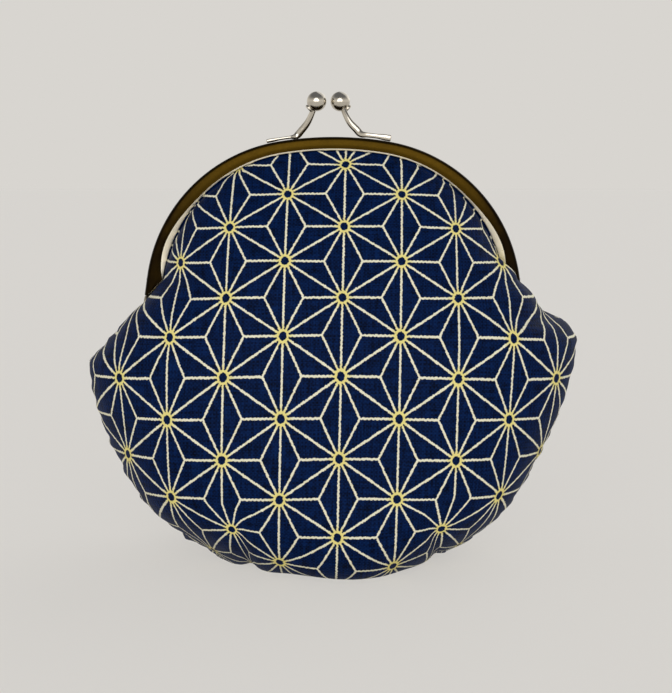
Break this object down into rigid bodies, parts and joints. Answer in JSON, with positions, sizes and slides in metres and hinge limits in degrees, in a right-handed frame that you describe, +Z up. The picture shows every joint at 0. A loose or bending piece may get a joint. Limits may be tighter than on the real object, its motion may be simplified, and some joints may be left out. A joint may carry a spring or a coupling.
{
  "type": "kiss-lock coin purse",
  "caption": "Rounded cloth coin purse gathered into an arched metal frame that opens on side hinges and snaps shut with a crossing ball clasp; printed with a hemp-leaf lattice.",
  "frame": {"origin": "centre of the flat base on which the purse stands", "axes": "+Z up, +X across the purse along the hinge axis, -Y towards its front"},
  "size_m": [0.1282, 0.072, 0.1244],
  "materials": {
    "printed_cotton": "navy cotton, gold print",
    "lining_cotton": "plain dark navy cotton",
    "frame_metal": "antique brass plating",
    "clasp_metal": "bright nickel plating",
    "paper": "twisted kraft paper"
  },
  "bodies": {
    "pouch": {"front_cloth_lower": "printed_cotton", "front_lining_lower": "lining_cotton", "rear_cloth_lower": "printed_cotton", "rear_lining_lower": "lining_cotton"},
    "front_half": {"front_frame": "frame_metal", "front_paper_string": "paper", "front_clasp_arm": "clasp_metal", "front_clasp_ball": "clasp_metal", "front_cloth_upper": "printed_cotton", "front_lining_upper": "lining_cotton"},
    "rear_half": {"rear_frame": "frame_metal", "rear_paper_string": "paper", "rear_clasp_arm": "clasp_metal", "rear_clasp_ball": "clasp_metal", "rear_cloth_upper": "printed_cotton", "rear_lining_upper": "lining_cotton", "left_hinge_rivet": "frame_metal", "right_hinge_rivet": "frame_metal"}
  },
  "joints": [
    {"name": "front_half_hinge", "type": "hinge", "parent": "pouch", "child": "front_half", "pos_m": [0, 0, 0.069], "axis": [1, 0, 0], "range_deg": [0, 45]},
    {"name": "rear_half_hinge", "type": "hinge", "parent": "pouch", "child": "rear_half", "pos_m": [0, 0, 0.069], "axis": [1, 0, 0], "range_deg": [-45, 0]}
  ],
  "couplings": [
    {"joint": "rear_half_hinge", "follows": "front_half_hinge", "ratio": -1}
  ]
}
